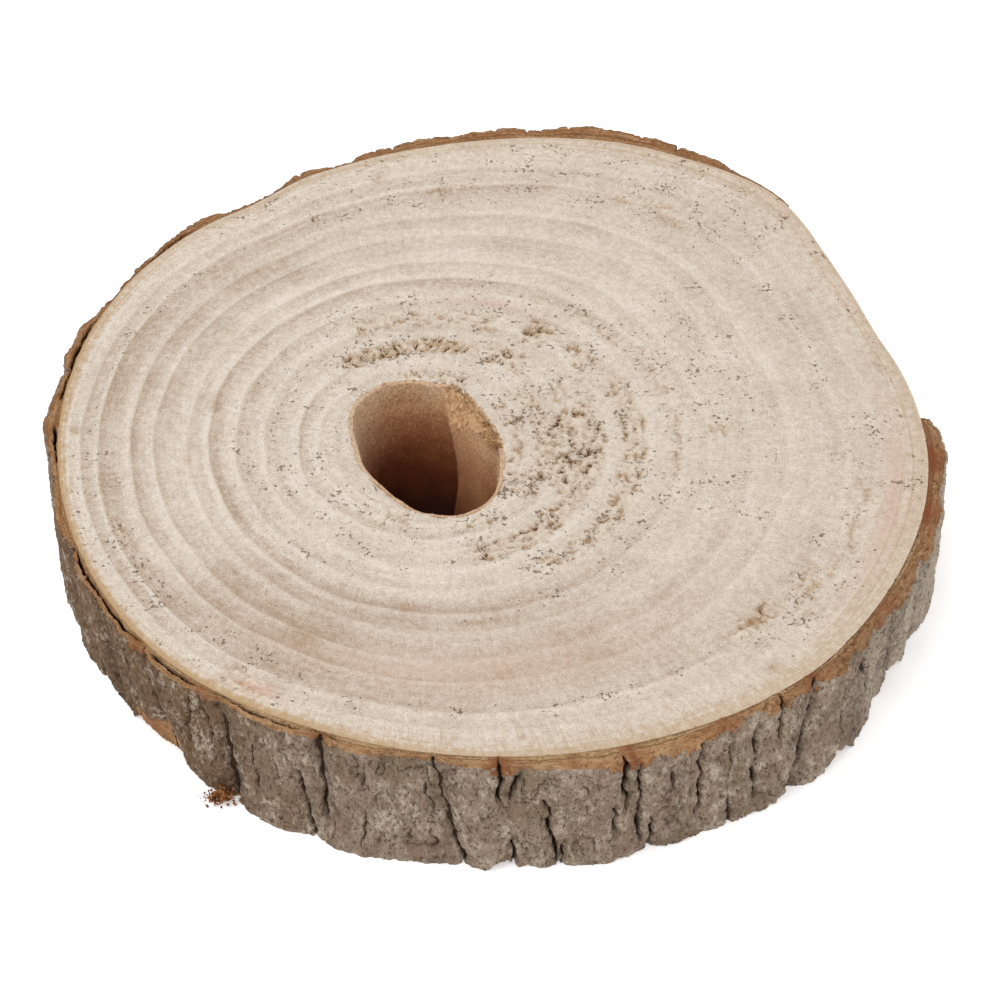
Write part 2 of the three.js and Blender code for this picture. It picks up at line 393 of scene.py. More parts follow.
# %% Carve the sawn face and the base
FLAKE_LIFT = 0.26
TORN_DEEP = 0.8
COMB_PITCH = 0.75
RIPPLE_PITCH = 2.7
RING_EDGES = [
    # growth radius, how dark the summer wood is just inside it
    (14.2, 0.35), (16.9, 0.75), (21.7, 0.5), (25.7, 0.55), (29.7, 0.9), (32.8, 0.6), (38.2, 0.65), (42.4, 0.8),
    (48.8, 0.7), (52.2, 0.5),
]


def ring_relief(ring):
    """How low the face lies across the rings: lowest just inside each ring's edge, highest just outside it."""
    places = [edge + side for edge, _ in RING_EDGES for side in (-0.7, 0.35)]
    levels = [dark * way for _, dark in RING_EDGES for way in (1, -1)]
    return np.interp(ring, places, levels)


points = read_points(wood_band)
heading, growth = growth_at(points[:, 0], points[:, 1])
face = on_face(points)
torn = patch_share(TORN_PATCHES, heading, growth, points, 0.5) * face
ring_place = np.stack([growth, np.cos(heading) * 20, np.sin(heading) * 20], 1)
left_side = 0.5 - 0.5 * np.cos(heading + 0.5)
ripple_turn = ring_at(heading, growth) * TURN / RIPPLE_PITCH + 1.1 * lumps(ring_place, (5, 14, 14), 11)
ripple = np.sin(ripple_turn + 0.6 * np.sin(ripple_turn))
ripple_share = window(growth, 14, 36, 4) * (0.15 + 0.85 * left_side)
swell = lumps(points, 7, 13)

chips = 0.8 * lumps(ring_place, (0.8, 1.5, 1.5), 5) + 0.55 * lumps(points, 0.65, 6) + 0.35 * lumps(points, 0.28, 7)
comb = np.abs(np.sin(heading * 19 * math.pi / COMB_PITCH / 2 + 2.4 * lumps(points, 1.7, 8)))
in_comb = window(growth + 0.3 * lumps(points, 1.5, 9), 17.8, 20.1, 0.25) * heading_window(heading, 70, 128, 4)
pit = soft_step(0.15, 0.55, chips) * (1 - in_comb) + (0.75 - 0.6 * comb + 0.5 * chips) * in_comb
lift = soft_step(0.0, 0.5, -chips) * (1 - in_comb)
torn_depth = torn * np.clip(pit, 0, 1) * TORN_DEEP
fuzz = 0.022 * rough(points, (0.9, 0.9, 0.9), 21, 2)
relief = ring_relief(ring_at(heading, growth) + 0.35 * lumps(ring_place, (3, 5, 5), 15))
drop = 0.04 * ripple_share * (1 + ripple) + 0.07 + 0.03 * swell + fuzz
drop = drop + 0.07 * relief * (0.25 + 0.75 * left_side)
drop = drop + torn_depth - np.minimum(torn * 1.4, 1) * lift * FLAKE_LIFT
hollow_angle, hollow_distance = place_round(points[:, 0], points[:, 1], hollow_centre)
from_lip = hollow_distance - radius_at(hollow, hollow_angle, np.full(len(points), THICK))
lip_wear = (1 - soft_step(0.3, 1.3, from_lip)) * (0.1 + 0.16 * lumps(points, 1.1, 31))
drop = np.where(face, np.maximum(drop + lip_wear, -0.28), 0)
points[:, 2] -= drop
base = points[:, 2] < 1e-3
points[:, 2] += np.where(base, 0.04 + 0.04 * lumps(points, 1.2, 41), 0)
move_points(wood_band, points)
print(f"face relief: {drop[face].max():.2f} mm deepest, {drop[face].mean():.2f} mm on average")

# %% [markdown]
# ## Keeping what was carved
# The finishes need to know which ring a point lies on and how torn it is there. Those numbers are stored on the mesh
# as attributes, where a shader can read them.

# %% Turn a bmesh into a piece
SHARP_ANGLE = math.radians(60)


def one_finish(mesh):
    return np.zeros(len(mesh.polygons), np.int32)


def make_piece(name, band, attributes, finishes, face_finish=one_finish):
    """Writes a bmesh to a new object, with its attributes, its finishes and a finish for each face."""
    bmesh.ops.recalc_face_normals(band, faces=band.faces)
    bmesh.ops.triangulate(band, faces=[face for face in band.faces if len(face.verts) > 4])
    mesh = bpy.data.meshes.new(name)
    band.to_mesh(mesh)
    band.free()
    for finish in finishes:
        mesh.materials.append(finish)
    mesh.polygons.foreach_set("material_index", face_finish(mesh))
    for label, values in attributes.items():
        stored = mesh.attributes.new(label, "FLOAT", "POINT")
        stored.data.foreach_set("value", np.asarray(values, np.float32))
    mesh.transform(Matrix.Scale(MM, 4))
    mesh.shade_smooth()
    mesh.set_sharp_from_angle(angle=SHARP_ANGLE)
    piece = bpy.data.objects.new(name, mesh)
    bpy.context.scene.collection.objects.link(piece)
    print(f"{name}: {len(mesh.vertices)} points, {sum(len(p.vertices) - 2 for p in mesh.polygons)} triangles")
    return piece


# %% [markdown]
# ## Shader sums in plain Python
# A finish is a tree of nodes, but it is easier to read as sums. This small class wraps a socket, so that adding or
# multiplying two of them adds the Math node. A second class holds the tree and makes every other kind of node.

# %% A socket that can be added and multiplied
class Wire:
    """A socket of a finish."""

    def __init__(self, finish, socket):
        self.finish = finish
        self.socket = socket

    def math(self, operation, first, second):
        return self.finish.node("ShaderNodeMath", {"operation": operation}, {0: first, 1: second})

    def __add__(self, other):
        return self.math("ADD", self, other)

    def __sub__(self, other):
        return self.math("SUBTRACT", self, other)

    def __rsub__(self, other):
        return self.math("SUBTRACT", other, self)

    def __mul__(self, other):
        return self.math("MULTIPLY", self, other)

    def __truediv__(self, other):
        return self.math("DIVIDE", self, other)

    __radd__ = __add__
    __rmul__ = __mul__

    def rise(self, low, high):
        """0 where the wire is below low, 1 where it is above high."""
        return self.finish.node(
            "ShaderNodeMapRange", {"interpolation_type": "SMOOTHSTEP"},
            {"Value": self, "From Min": low, "From Max": high, "To Min": 0.0, "To Max": 1.0},
        )

    def band(self, low, high, softness):
        """1 where the wire is between low and high."""
        return self.rise(low - softness, low + softness) * (1 - self.rise(high - softness, high + softness))


class Finish:
    """A material and the nodes that make it."""

    def __init__(self, name):
        self.material = bpy.data.materials.new(name)
        self.material.use_nodes = True
        self.tree = self.material.node_tree
        self.tree.nodes.clear()

    def node(self, kind, settings=None, inputs=None, output=0):
        """Any node: its settings are set first, then its values and links. Gives one of its outputs."""
        made = self.tree.nodes.new(kind)
        for label, value in (settings or {}).items():
            if label == "stops":
                self.set_stops(made.color_ramp, value)
            else:
                setattr(made, label, value)
        for key, value in (inputs or {}).items():
            if isinstance(value, Wire):
                self.tree.links.new(value.socket, made.inputs[key])
            else:
                made.inputs[key].default_value = value
        return Wire(self, made.outputs[output]) if made.outputs else None

    def set_stops(self, ramp, stops):
        while len(ramp.elements) < len(stops):
            ramp.elements.new(0.5)
        for element, (place, colour) in zip(ramp.elements, stops):
            element.position = place
            element.color = colour

    def attribute(self, label):
        return self.node("ShaderNodeAttribute", {"attribute_name": label}, output="Fac")

    def place(self):
        return self.node("ShaderNodeTexCoord", output="Object")

    def stretched(self, vector, scale):
        """A vector with each axis multiplied, so that a pattern is drawn out along an axis."""
        return self.node("ShaderNodeVectorMath", {"operation": "MULTIPLY"}, {0: vector, 1: scale})

    def lumps(self, vector, scale, detail=2.0, roughness=0.5, distortion=0.0):
        return self.node(
            "ShaderNodeTexNoise", {},
            {"Vector": vector, "Scale": scale, "Detail": detail, "Roughness": roughness, "Distortion": distortion},
        )

    def mix(self, share, under, over, way="MIX"):
        """One colour over another."""
        return self.node(
            "ShaderNodeMix", {"data_type": "RGBA", "blend_type": way}, {0: share, 6: under, 7: over}, output=2
        )

    def finish(self, colour, roughness, height, distance, glow=0.0):
        """The surface itself: its colour, its roughness, a bump and a glow for a table that is lit from below."""
        bump = self.node("ShaderNodeBump", {}, {"Strength": 1.0, "Distance": distance, "Height": height})
        surface = self.node(
            "ShaderNodeBsdfPrincipled", {},
            {
                "Base Color": colour, "Roughness": roughness, "Specular IOR Level": 0.1, "Normal": bump,
                "Emission Color": (1.0, 1.0, 1.0, 1.0), "Emission Strength": glow,
            },
        )
        self.node("ShaderNodeOutputMaterial", {}, {"Surface": surface})
        return self.material


def tint(red, green, blue):
    """A colour from the 0 to 255 numbers of a paint chart, as the linear numbers that a shader wants."""
    chart = np.array([red, green, blue]) / 255
    linear = np.where(chart <= 0.04045, chart / 12.92, ((chart + 0.055) / 1.055) ** 2.4)
    return (*linear.tolist(), 1.0)


# %% [markdown]
# ## Sawn wood
# The face is pale and almost even: cream with faint brown rings and a tan fringe under the bark. Fine dark pores lie
# along the spring wood of each ring. Torn flakes are tan, with painted shade in the pits between them and a painted
# highlight on the lifted flakes. The rings come from the ring attribute, so they follow the trunk's shape instead of
# being perfect circles.

# %% The sawn face
PALE_WOOD = tint(218, 207, 194)
RING_WOOD = tint(166, 144, 123)
PINK_WOOD = tint(196, 163, 146)
BROWN_WOOD = tint(150, 117, 82)
TORN_WOOD = tint(188, 156, 118)
PAINTED_PIT_SHADE = tint(96, 58, 32)
PAINTED_FLAKE_HIGHLIGHT = tint(216, 205, 190)
FRINGE_WOOD = tint(178, 148, 108)
PORE = tint(128, 102, 72)
SPRING_TONE = 0.3
RING_SPAN = 60.0
TURN_REACH = 35.0


def ring_vector(kit, ring, across, along):
    """A place along the rings: across and along are the sizes in millimetres of one lump in each direction."""
    return kit.node("ShaderNodeCombineXYZ", {}, {
        0: ring / across,
        1: kit.attribute("heading_cosine") * (TURN_REACH / along),
        2: kit.attribute("heading_sine") * (TURN_REACH / along),
    })


def ring_stops():
    """The tone across the rings: it darkens outwards to each ring's edge, and a pale line follows."""
    stops = []
    inner = 10.0
    for edge, dark in RING_EDGES:
        stops.append((inner + (edge - inner) * 0.4, SPRING_TONE))
        stops.append((edge - 0.25, dark))
        stops.append((edge + 0.15, 0.0))
        inner = edge
    return [(at / RING_SPAN, (tone, tone, tone, 1.0)) for at, tone in stops]


def sawn_wood():
    kit = Finish("sawn_wood")
    place = kit.place()
    growth = kit.attribute("growth")
    torn = kit.attribute("torn")
    toward_left = kit.attribute("heading_cosine") * -0.5 + 0.5
    fleck = kit.lumps(place, 1150.0, detail=5.0, roughness=0.72)
    grit = kit.lumps(place, 4200.0, detail=2.0)
    patch = kit.lumps(place, 130.0, detail=3.0)
    wander = kit.lumps(ring_vector(kit, growth, 9, 13), 1.0) - 0.5
    ring = kit.attribute("ring") + wander * 1.5 + (fleck - 0.5) * 0.9
    tone = kit.node("ShaderNodeValToRGB", {"stops": ring_stops()}, {"Fac": ring / RING_SPAN})
    fine = kit.lumps(ring_vector(kit, kit.attribute("ring") + wander * 1.5, 1.1, 40), 1.0, detail=4.0, roughness=0.65)
    streak = kit.lumps(ring_vector(kit, growth, 4.5, 0.38), 1.0, detail=3.0, roughness=0.6)
    share = SPRING_TONE + (tone - SPRING_TONE) * (0.2 + toward_left * 0.55) * (0.3 + patch * 1.3)
    share = share + (fine - 0.5) * (0.45 + toward_left * 0.35) + (streak - 0.5) * 0.32 + (fleck - 0.5) * 1.3 + (grit - 0.5) * 1.2
    share = share + (patch - 0.5) * 0.5 + kit.attribute("dusk") * 0.26 + kit.attribute("sap") * 0.1
    colour = kit.mix(share, PALE_WOOD, RING_WOOD)
    colour = kit.mix(kit.attribute("pink") * (0.5 + fleck), colour, PINK_WOOD)
    colour = kit.mix(kit.attribute("brown") * (fleck + streak - 0.3), colour, BROWN_WOOD)
    rays = kit.lumps(ring_vector(kit, growth, 5, 0.13), 1.0, detail=3.0).rise(0.5, 0.7)
    colour = kit.mix(rays * kit.attribute("rays") * 0.5, colour, FRINGE_WOOD)
    fringe = (growth + (fleck - 0.5) * 6.0 + (fine - 0.5) * 3.0).rise(54.9, 57.9)
    colour = kit.mix(fringe * kit.attribute("fringe"), colour, FRINGE_WOOD)
    rim_line = kit.lumps(ring_vector(kit, growth, 0.34, 60), 1.0, detail=1.0).rise(0.5, 0.66)
    colour = kit.mix(rim_line * growth.rise(53.5, 55.5) * (0.4 - kit.attribute("rays") * 0.3), colour, FRINGE_WOOD)
    crowd = kit.attribute("specks")
    dots = kit.lumps(place, 1700.0, detail=3.0, roughness=0.6)
    cluster = kit.lumps(place, 330.0, detail=1.0)
    specks = (dots + crowd * 0.1 + (cluster - 0.5) * 0.45).rise(0.66, 0.75) * crowd.rise(0.02, 0.08)
    colour = kit.mix(specks * 0.82, colour, PORE)
    # Painted highlight: the lifted flakes are painted paler.
    colour = kit.mix(kit.attribute("lift").rise(0.05, 0.5) * 0.8, colour, PAINTED_FLAKE_HIGHLIGHT)
    colour = kit.mix(kit.attribute("rough").rise(0.1, 0.6) * fleck * 0.35, colour, TORN_WOOD)
    # The tan of the torn grain, laid on by how deep the pits are: partly the grain's own colour, partly painted shade.
    colour = kit.mix((torn + (grit - 0.5) * 0.3).rise(0.1, 0.34) * 0.72, colour, TORN_WOOD)
    # Painted shade: the deepest torn pits are painted dark brown.
    colour = kit.mix((torn + (fleck - 0.5) * 0.4).rise(0.3, 0.54) * 0.85, colour, PAINTED_PIT_SHADE)
    height = fleck * 0.8 + grit * 0.4 + fine * 0.25 + streak * 0.2 - specks * 0.6
    return kit.finish(colour, 0.85, height, 0.0004)


SAWN_WOOD = sawn_wood()

# %% [markdown]
# ## The bare side
# Where the bark has come off, the last ring of wood shows: smooth, long-grained and a little darker than the face.

# %% The bare side's finish
BARE_WOOD = tint(196, 170, 142)
BARE_SHADE = tint(146, 112, 82)


def bare_side():
    kit = Finish("bare_side")
    place = kit.place()
    grain = kit.lumps(kit.stretched(place, (1.0, 1.0, 0.08)), 1400.0, detail=3.0, roughness=0.6)
    blotch = kit.lumps(place, 180.0, detail=2.0)
    colour = kit.mix((grain - 0.5) * 1.2 + blotch.rise(0.45, 0.75) * 0.5, BARE_WOOD, BARE_SHADE)
    return kit.finish(colour, 0.7, grain, 0.0002)


BARE_SIDE = bare_side()

# %% Make the wood
wood_attributes = {
    "growth": growth,
    "ring": ring_at(heading, growth),
    "heading_cosine": np.cos(heading),
    "heading_sine": np.sin(heading),
    "torn": torn_depth,
    "lift": lift * torn,
    "rough": torn,
    "specks": patch_share(SPECK_STRETCHES, heading, growth, points, 0.9),
    "brown": stain_share(heading, growth, 1),
    "pink": stain_share(heading, growth, -1),
    "rays": window(growth, 53.0, 59, 1.2) * heading_window(heading, -112, -34, 8),
    "fringe": 0.3 + 0.65 * heading_window(heading, 145, 262, 20) + 0.25 * heading_window(heading, 262, 320, 20),
    "dusk": np.maximum(
        0.5 * window(growth, 37, 46, 2) * heading_window(heading, 100, 200, 20),
        window(growth, 29, 47, 2.5) * heading_window(heading, -140, -45, 20),
    ),
    "sap": soft_step(43, 47, growth) * (1 + heading_window(heading, 130, 240, 30)),
}


def wood_faces(mesh):
    """0 for the sawn faces, 1 for the rim."""
    normals = np.zeros(len(mesh.polygons) * 3)
    centres = np.zeros(len(mesh.polygons) * 3)
    mesh.polygons.foreach_get("normal", normals)
    mesh.polygons.foreach_get("center", centres)
    centres = centres.reshape(-1, 3)
    upright = abs(normals.reshape(-1, 3)[:, 2]) < 0.5
    angle, distance = place_round(centres[:, 0], centres[:, 1], (0, 0))
    rim = distance > radius_at(wood, angle, np.clip(centres[:, 2], 0, THICK)) - 0.35
    return (rim & upright).astype(np.int32)


wood_piece = make_piece("sawn_wood_body", wood_band, wood_attributes, [SAWN_WOOD, BARE_SIDE], wood_faces)

# %% [markdown]
# ## The lining of the hollow
# The pith has left a brown lining, about a millimetre thick, that shows as a tan rim round the mouth. Seen from above
# the hollow has two parts: a round one on the left, and a flatter wall on the right that stands forward of it, so that
# a ridge runs down between them. Below its torn edge the right wall slopes in.

# %% Shape the lining
LINING_THICK = 0.62
LINING_SLICES = (22, 20)
WALL_ROWS = 96
LINING_LEVEL = THICK - 0.36
RIDGE_TOP = 77.0
RIDGE_FOOT = 42.0
RIGHT_WALL_FORWARD = 1.35
FOOT_FORWARD = 1.8
TORN_SLOPE = np.array([
    # degrees, how far the torn slope above the right wall reaches down
    (0, 0.4), (25, 0.7), (47, 2.2), (70, 4.4), (85, 4.8),
])

lining_section = (
    [(1, up) for up in run(0, 1, 8)]
    + [(across, 1) for across in run(1, 0, 6)]
    + [(0, up) for up in run(1, 0, WALL_ROWS)]
    + [(across, 0) for across in run(0, 1, 2)]
)
lining_band = bar(lining_section, LINING_SLICES, True)
blank = read_points(lining_band)
angle = blank[:, 0] * TURN
across = blank[:, 1]
height = blank[:, 2] * THICK
below = THICK - height
mouth = radius_at(hollow, angle, height)
wall_place = np.stack([mouth * np.cos(angle), mouth * np.sin(angle), height], 1)
ridge = np.radians(RIDGE_FOOT + (RIDGE_TOP - RIDGE_FOOT) * height / THICK) + 0.03 * lumps(wall_place, 2.5, 101)
turn_from_ridge = (angle - ridge + math.pi) % TURN - math.pi
right_wall = soft_step(-0.16, 0.04, -turn_from_ridge) * soft_step(-1.35, -0.75, turn_from_ridge)
slope_reach = np.interp(np.degrees(angle), TORN_SLOPE[:, 0], TORN_SLOPE[:, 1]) * (1 + 0.3 * lumps(wall_place, 2.0, 103))
slope = soft_step(0.1, slope_reach, below)
on_slope = right_wall * (1 - soft_step(0.85, 1.1, below / slope_reach))
forward = RIGHT_WALL_FORWARD * right_wall * slope
forward += FOOT_FORWARD * heading_window(angle, 46, 150, 12) * (1 - soft_step(0, 7, height))
splinter = 0.55 * on_slope * rough(wall_place * (1, 1, 0.5), 0.8, 107, 2)
grain = 0.14 * rough(wall_place * (1, 1, 0.4), 1.5, 109, 3) + 0.05 * lumps(wall_place, 0.35, 113)
grain = grain * (0.4 + 0.6 * (1 - right_wall)) * soft_step(0, 1.2, below)
inner = mouth - forward - splinter * (below > 0.2) + grain
outer = mouth + LINING_THICK * (0.9 + 0.3 * lumps(wall_place, 3.0, 115))
distance = inner + (outer - inner) * across
on_lip = blank[:, 2] > 1 - 1e-6
lip_height = 0.14 * lumps(wall_place + across[:, None] * 1.5, 0.7, 117) + 0.12 * lumps(wall_place, 2.2, 119)
up = blank[:, 2] * LINING_LEVEL + np.where(on_lip, lip_height - 0.12 * (1 - across), 0)
up = np.where(on_lip, up - 0.7 * right_wall * (1 - across) * (0.6 + 0.8 * lumps(wall_place, 0.8, 121)), up)
lining_points = np.stack(
    [hollow_centre[0] + distance * np.cos(angle), hollow_centre[1] + distance * np.sin(angle), np.maximum(up, 0.02)], 1
)
move_points(lining_band, lining_points)

# %% [markdown]
# The lining is tan and sandy near the mouth. Down in the left part painted shade turns it a deep red-brown, near black
# at the foot, and the right wall is painted lighter, as if lit from the left, with painted shade towards its foot too.

# %% The lining's finish
# Painted shade: the left ramp darkens from the tan mouth to near black at the foot of the hollow.
LEFT_DEPTH_SHADE_STOPS = [
    (0.0, tint(34, 10, 4)), (0.14, tint(46, 16, 6)), (0.3, tint(78, 34, 15)), (0.5, tint(122, 72, 42)),
    (0.7, tint(156, 108, 74)), (0.88, tint(186, 146, 110)), (1.0, tint(190, 160, 130)),
]
# Painted light and shade: the right wall is painted lighter than the left, as if lit from the left, and darker towards
# its foot.
RIGHT_LIT_DEPTH_SHADE_STOPS = [
    (0.0, tint(80, 43, 21)), (0.2, tint(118, 73, 43)), (0.5, tint(168, 119, 83)), (0.8, tint(194, 150, 112)),
    (1.0, tint(190, 158, 126)),
]
LINING_PALE = tint(206, 174, 142)
LINING_SHADE = tint(96, 60, 36)
SLOPE_GOLD = tint(180, 141, 102)
SANDY_GREY = tint(192, 168, 140)


def lining_finish():
    kit = Finish("hollow_wall")
    place = kit.place()
    level = kit.attribute("level")
    fibre = kit.lumps(kit.stretched(place, (1.0, 1.0, 0.3)), 1500.0, detail=4.0, roughness=0.65)
    sand = kit.lumps(place, 2800.0, detail=3.0, roughness=0.65)
    blotch = kit.lumps(place, 260.0, detail=2.0)
    shown = level + (blotch - 0.5) * 0.22
    left = kit.node("ShaderNodeValToRGB", {"stops": LEFT_DEPTH_SHADE_STOPS}, {"Fac": shown})
    right = kit.node("ShaderNodeValToRGB", {"stops": RIGHT_LIT_DEPTH_SHADE_STOPS}, {"Fac": shown})
    left = kit.mix(kit.attribute("far_left") * (level * 1.5 - 0.5) * 0.8, left, SANDY_GREY)
    # The right wall takes the lighter ramp, which is painted light.
    colour = kit.mix(kit.attribute("right_wall"), left, right)
    colour = kit.mix(kit.attribute("on_slope") * (fibre + 0.3), colour, SLOPE_GOLD)
    pale = sand.rise(0.52, 0.64) * (level * level * level * 0.85)
    colour = kit.mix(pale, colour, LINING_PALE)
    colour = kit.mix((1 - sand.rise(0.36, 0.48)) * level * 0.5, colour, LINING_SHADE)
    return kit.finish(colour, 0.8, fibre * 0.6 + sand * 0.4, 0.00025)


lining_piece = make_piece(
    "hollow_lining", lining_band,
    {
        "level": height / THICK, "right_wall": right_wall, "on_slope": on_slope,
        "far_left": heading_window(angle, 130, 215, 25),
    },
    [lining_finish()],
)

# %% [markdown]
# ## The bark
# Bark is a skin of its own, two to three millimetres thick, so it is a second band from the edge of the wood to the
# trunk's outline. It stops at the flattened side. Long cracks split it, the plates between them are flaky, and the
# saw has chipped its upper edge. The band is made in three lengths that meet in cracks, so that each can be fine.

# %% Cracks
FURROWS = [
    # degrees at the face, at the foot, from height, to height, width, depth
    (205.5, 203, 0, 18, 0.4, 1.2), (209, 212, 0, 12, 0.3, 0.9), (214, 217, 3, 15, 0.9, 1.6),
    (221.5, 219, 0, 17, 0.3, 0.9), (224.6, 228, 0, 18, 0.4, 1.3), (233, 231, 7, 16, 0.3, 0.9),
    (236.4, 238.4, 0, 16.5, 0.6, 1.9), (234, 237, 9, 17, 0.3, 1.1), (241, 242.5, 5, 13, 0.25, 0.8),
    (249.7, 251.6, 5, 18, 0.45, 2.1), (246.5, 249.2, 0, 11, 0.4, 1.5), (256.5, 255, 2, 8, 0.25, 0.8),
    (263.2, 266.8, 0, 18, 0.36, 2.0), (261.5, 265, 8, 14, 0.25, 0.8), (270.6, 271.2, 12, 18, 0.4, 1.7),
    (272.4, 272.4, 0, 5, 0.3, 1.5), (272.9, 270.4, 12, 17, 0.45, 1.2), (275.2, 277.3, 0, 12, 0.34, 1.4),
    (277.5, 277.8, 0, 4, 0.4, 1.1), (284.6, 285.2, 9, 18, 0.4, 1.5), (286.3, 286.6, 2, 16, 0.28, 1.3),
    (283.0, 284.0, 5, 10, 0.4, 1.0), (288.3, 288, 0, 6, 0.35, 1.4), (290.5, 290, 10, 14, 0.3, 0.8),
    (294.4, 293.2, 4, 16, 0.45, 1.5), (297.2, 297.8, 0, 5, 0.4, 1.4), (298.5, 297, 8, 14, 0.3, 1.0),
    (301.4, 301, 3, 15, 0.5, 1.4), (304.6, 304.4, 11, 18, 0.45, 1.5), (310.2, 306.4, 0, 17, 0.55, 2.1),
    (314.5, 315, 3, 12, 0.3, 0.9), (318, 322, 5, 14, 0.9, 1.9), (325.5, 328, 0, 12, 0.5, 1.6),
    (333, 335, 0, 18, 0.45, 1.3), (340, 338, 3, 18, 0.35, 1.2), (347, 345, 0, 18, 0.45, 1.4), (353, 354, 0, 15, 0.35, 1.1),
]
chance = np.random.default_rng(7)
HIDDEN_FURROWS = [
    (
        face_at, face_at + chance.uniform(-3.5, 3.5), chance.uniform(-6, 6), chance.uniform(11, 24),
        chance.uniform(0.2, 0.5), chance.uniform(0.6, 1.8),
    )
    for face_at in np.arange(64, 203, 5.6) + chance.uniform(-1.8, 1.8, 25)
]
TRUNK_ARC = 60.0
CRACK_WIDTH = 0.7


def crack_depths(angle, height, points):
    """How deep the sharp cracks cut at each point of the bark, and how far the plates curl in towards them."""
    sharp = np.zeros(len(angle))
    curl = np.zeros(len(angle))
    jagged = 0.45 * lumps(points * (0.4, 0.4, 1), 2.8, 61) + 0.3 * lumps(points, 0.9, 62)
    spread = 0.75 + 0.5 * lumps(points, 2.0, 63)
    for at_face, at_foot, low, high, width, depth in FURROWS + HIDDEN_FURROWS:
        middle = np.radians(at_foot + (at_face - at_foot) * height / THICK)
        across = ((angle - middle + math.pi) % TURN - math.pi) * TRUNK_ARC + jagged
        ends = window(height, low, high, 1.4)
        sharp = np.maximum(sharp, depth * ends * np.exp(-((across / (CRACK_WIDTH * width * spread)) ** 2)))
        curl = np.maximum(curl, 0.28 * depth * ends * np.exp(-((across / 1.4) ** 2)))
    return sharp, curl


# %% [markdown]
# The saw cut through the bark shows two layers: a tan one that stays on the wood, a thin dark line, and an orange-tan
# one outside. On the left they have come apart, and a gap runs between them, painted dark with shade.

# %% Gaps and chips
GAPS = [
    # degrees from, to, share of the bark's thickness, depth
    (162, 177, 0.42, 3.0), (183, 189, 0.4, 2.2), (206.5, 213.5, 0.5, 3.6), (213.8, 222.5, 0.5, 3.8),
    (226.5, 232.5, 0.45, 3.2), (236, 243, 0.4, 2.6), (243.5, 247, 0.4, 1.4), (139, 147, 0.5, 1.8),
    (248, 252, 0.4, 0.8),
]
LIP_CHIPS = [
    # degrees from, to, how far the broken edge reaches down
    (234, 236.6, 1.6), (248.6, 251.4, 1.8), (261.8, 264.4, 1.0), (269.4, 272.8, 1.8), (283, 287.4, 2.6),
    (289.5, 299, 2.2), (302, 306, 1.8), (308, 315, 2.6), (317, 331, 2.8), (334, 341, 2.2), (343, 352, 2.0), (206, 209, 1.4),
    (214, 217.5, 1.2), (222, 225.6, 1.8), (90, 96, 1.5), (150, 158, 1.4), (70, 75, 1.4),
]
RUST_SPOTS = [
    # degrees, half width in degrees, strength
    (223.5, 1.2, 0.8), (233.5, 1.5, 0.5), (249.5, 0.9, 0.6), (270.8, 1.4, 1.0), (285.6, 1.3, 0.9), (279.0, 1.2, 0.5),
    (297.0, 2.0, 0.6), (309.5, 1.6, 0.8), (324.0, 2.5, 0.6), (341.0, 3.0, 0.7), (351.0, 2.5, 0.8),
]
DARK_STRETCHES = [
    # degrees, half width in degrees, strength
    (334.5, 1.6, 0.6), (326.5, 2.2, 0.8), (317.0, 1.6, 0.7), (307.0, 1.2, 0.5), (290.5, 1.4, 0.35), (250.5, 1.2, 0.4),
    (238.5, 1.0, 0.5), (227.5, 2.0, 0.5), (215.5, 2.0, 0.6), (205.0, 1.6, 0.5), (264.5, 1.2, 0.35),
]
FOOT_CHIPS = [
    (220.5, 229.5, 5.5), (270, 272.2, 1.0), (312, 316, 1.6), (326, 331, 1.8), (100, 105, 2.2),
    (160, 166, 1.8),
]


def chip_reach(chips, degrees):
    reach = np.zeros(len(degrees))
    for low, high, down in chips:
        reach = np.maximum(reach, down * window(degrees, low, high, 0.8))
    return reach


def stained_share(spots, degrees, points):
    """Where damp has stained the bark: rust-red on the cut, dark on the outside."""
    stained = np.zeros(len(degrees))
    for middle, half, strength in spots:
        stained = np.maximum(stained, strength * np.exp(-(((degrees - middle) / half) ** 2)))
    return stained * np.clip(1 + lumps(points, 1.1, 89), 0, 1)


def gap_depth(degrees, share, points):
    """How deep the gap between the two layers is, where share is the place across the bark."""
    wander = 0.07 * lumps(points, 3.0, 91) + 0.05 * lumps(points, 0.9, 92)
    deepest = np.zeros(len(degrees))
    for low, high, middle, depth in GAPS:
        width = 0.12 + 0.06 * lumps(points, 1.6, 93)
        slot = np.exp(-(((share - middle - wander) / width) ** 2))
        deepest = np.maximum(deepest, depth * slot * window(degrees, low, high, 1.0))
    return deepest


# %% Shape a length of bark
BARK_LEVEL = THICK - 0.33
CUT_ROWS = 20
BACK_ROWS = 3
FOOT_ROWS = 5
BARK_LEFT = 0.4


